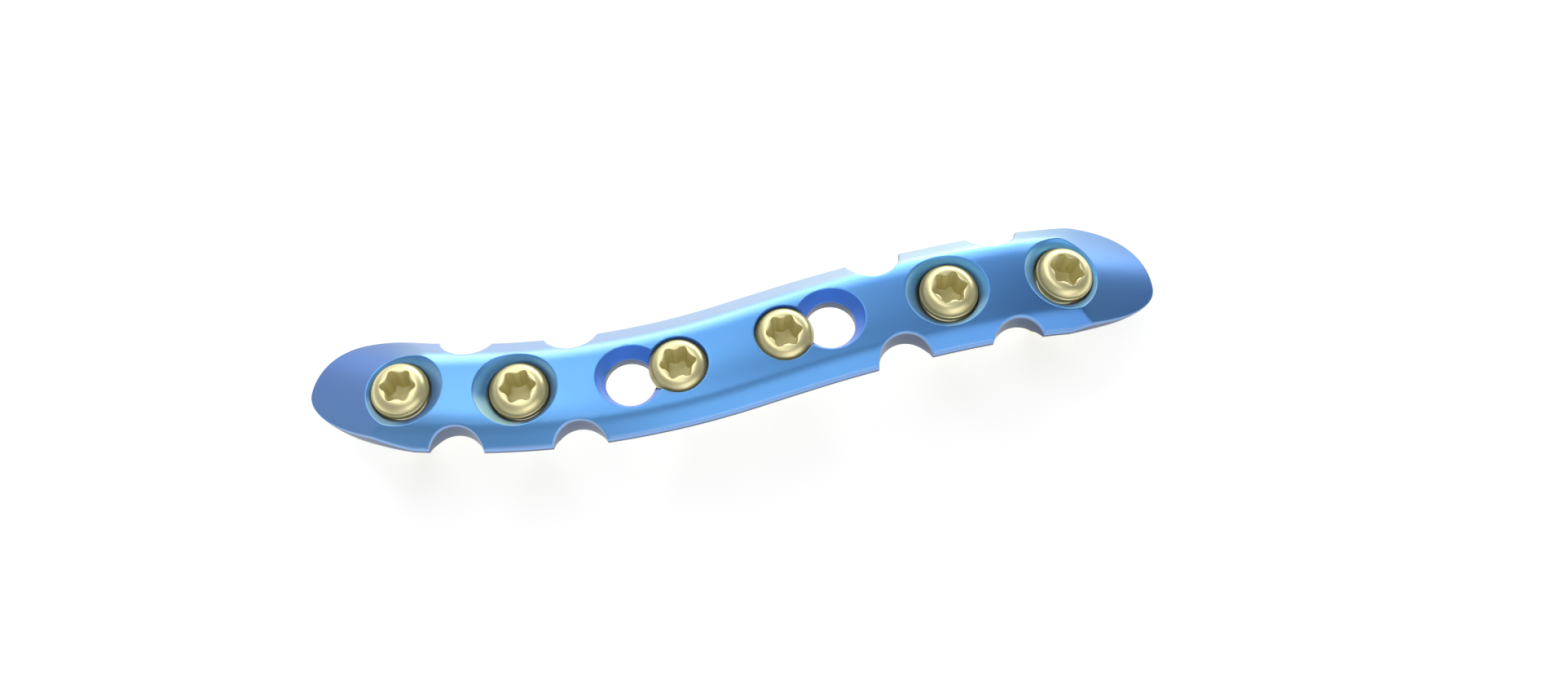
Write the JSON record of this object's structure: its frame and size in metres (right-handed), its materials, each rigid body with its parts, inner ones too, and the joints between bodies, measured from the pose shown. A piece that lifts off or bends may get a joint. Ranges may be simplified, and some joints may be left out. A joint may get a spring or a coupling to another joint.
{
  "type": "clavicle bone plate",
  "caption": "S-shaped anatomic bone plate with tapered ends, scalloped edges and combination holes, held by locking screws with domed star-recess heads.",
  "frame": {"origin": "on the underside of the plate, on its centreline, halfway between the two middle screws", "axes": "+X along the plate towards its flatter right end, +Y across it towards the far edge in the picture, +Z away from the bone, through the top face"},
  "size_m": [0.0935, 0.0197, 0.0166],
  "materials": {
    "blue_titanium": "smooth blue anodised titanium",
    "gold_titanium": "polished pale gold anodised titanium"
  },
  "bodies": {
    "root": {"plate": "blue_titanium", "screw_1": "gold_titanium", "screw_2": "gold_titanium", "screw_3": "gold_titanium", "screw_4": "gold_titanium", "screw_5": "gold_titanium", "screw_6": "gold_titanium"}
  },
  "joints": []
}
